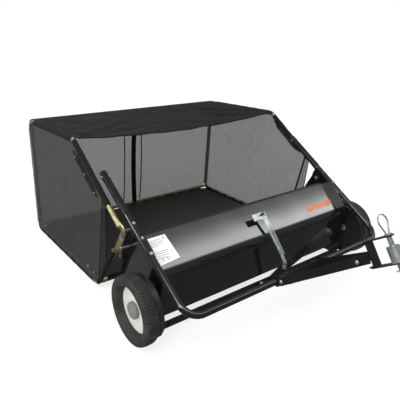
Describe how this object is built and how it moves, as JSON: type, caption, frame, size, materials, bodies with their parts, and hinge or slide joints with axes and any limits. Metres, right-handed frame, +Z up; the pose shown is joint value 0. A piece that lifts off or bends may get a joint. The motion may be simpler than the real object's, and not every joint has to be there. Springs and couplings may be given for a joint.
{
  "type": "lawn sweeper",
  "caption": "Tow-behind lawn sweeper with a mesh collection hopper, gear-driven brush, two wheels, height lever and pin hitch.",
  "frame": {"origin": "on the ground under the middle of the whole machine's box; the wheel axle is 243 mm forward of it", "axes": "+X along the axle to the machine's right seen from behind the hitch looking at it, +Y rearward to the hopper, +Z up"},
  "size_m": [1.244, 1.6735, 0.611],
  "materials": {
    "gloss_black": "high-gloss black powder coat",
    "satin_black": "satin black powder coat",
    "zinc": "clear zinc plate",
    "yellow_zinc": "yellow zinc plate",
    "tyre": "matte rubber",
    "rim": "off-white moulded plastic",
    "grey_plastic": "grey moulded plastic",
    "black_plastic": "black moulded plastic",
    "bristle": "black filament",
    "mesh": "fine open polyester mesh",
    "cloth": "woven polyester"
  },
  "bodies": {
    "sweeper": {"left_side_plate": "gloss_black", "right_side_plate": "gloss_black", "hood": "gloss_black", "front_panel": "gloss_black", "front_rail": "satin_black", "rear_ramp": "satin_black", "left_axle": "zinc", "right_axle": "zinc", "push_tube": "gloss_black", "left_upper_arm": "satin_black", "right_upper_arm": "satin_black", "left_arm_pin": "zinc", "right_arm_pin": "zinc", "adjuster_bracket": "satin_black", "height_quadrant": "zinc", "lever_pivot_bolt": "zinc", "left_dump_pin": "zinc", "right_dump_pin": "zinc", "left_stop_pin": "zinc", "right_stop_pin": "zinc"},
    "left_wheel": {"left_tyre": "tyre", "left_rim": "rim", "left_ring_gear": "black_plastic", "left_hub_cap": "grey_plastic"},
    "right_wheel": {"right_tyre": "tyre", "right_rim": "rim", "right_ring_gear": "black_plastic", "right_hub_cap": "grey_plastic"},
    "brush": {"brush_shaft": "zinc", "brush_1": "bristle", "brush_2": "bristle", "brush_3": "bristle", "brush_4": "bristle", "left_pinion": "zinc"},
    "right_pinion": {"right_pinion": "zinc"},
    "height_lever": {"height_lever": "satin_black", "lever_grip": "black_plastic"},
    "hopper": {"left_hopper_frame": "yellow_zinc", "right_hopper_frame": "yellow_zinc", "top_rear_tube": "yellow_zinc", "floor_rear_tube": "yellow_zinc", "floor_front_tube": "yellow_zinc", "rear_strap": "cloth", "left_hopper_bracket": "yellow_zinc", "right_hopper_bracket": "yellow_zinc", "left_mesh": "mesh", "left_skirt": "cloth", "right_mesh": "mesh", "right_skirt": "cloth", "rear_mesh": "mesh", "hopper_floor": "cloth", "top_cover": "cloth"},
    "drawbar": {"left_drawbar_leg": "satin_black", "right_drawbar_leg": "satin_black", "drawbar_gusset": "satin_black", "hitch_bracket": "satin_black", "hitch_spacer": "zinc"},
    "hitch_pin": {"hitch_pin": "zinc", "hitch_hairpin": "zinc"}
  },
  "joints": [
    {"name": "left_wheel_spin", "type": "hinge", "parent": "sweeper", "child": "left_wheel", "pos_m": [-0.596, -0.2432, 0.127], "axis": [1, 0, 0], "continuous": true},
    {"name": "right_wheel_spin", "type": "hinge", "parent": "sweeper", "child": "right_wheel", "pos_m": [0.596, -0.2432, 0.127], "axis": [1, 0, 0], "continuous": true},
    {"name": "brush_spin", "type": "hinge", "parent": "sweeper", "child": "brush", "pos_m": [0, -0.14889, 0.133], "axis": [1, 0, 0], "continuous": true},
    {"name": "right_pinion_spin", "type": "hinge", "parent": "sweeper", "child": "right_pinion", "pos_m": [0.555, -0.14889, 0.133], "axis": [1, 0, 0], "continuous": true},
    {"name": "hopper_dump", "type": "hinge", "parent": "sweeper", "child": "hopper", "pos_m": [0, -0.0952, 0.351], "axis": [1, 0, 0], "range_deg": [0, 90]},
    {"name": "drawbar_pitch", "type": "hinge", "parent": "sweeper", "child": "drawbar", "pos_m": [0, -0.4502, 0.177], "axis": [1, 0, 0], "range_deg": [-5, 40]},
    {"name": "lever_swing", "type": "hinge", "parent": "sweeper", "child": "height_lever", "pos_m": [0.04, -0.3522, 0.137], "axis": [1, 0, 0], "range_deg": [-48, 6]},
    {"name": "hitch_pin_lift", "type": "slide", "parent": "drawbar", "child": "hitch_pin", "axis": [0, 0.5736, 0.8192], "range_m": [0, 0.016]}
  ],
  "couplings": [
    {"joint": "brush_spin", "follows": "left_wheel_spin", "ratio": 7},
    {"joint": "right_pinion_spin", "follows": "right_wheel_spin", "ratio": 7},
    {"joint": "lever_swing", "follows": "drawbar_pitch", "ratio": -1.2}
  ]
}
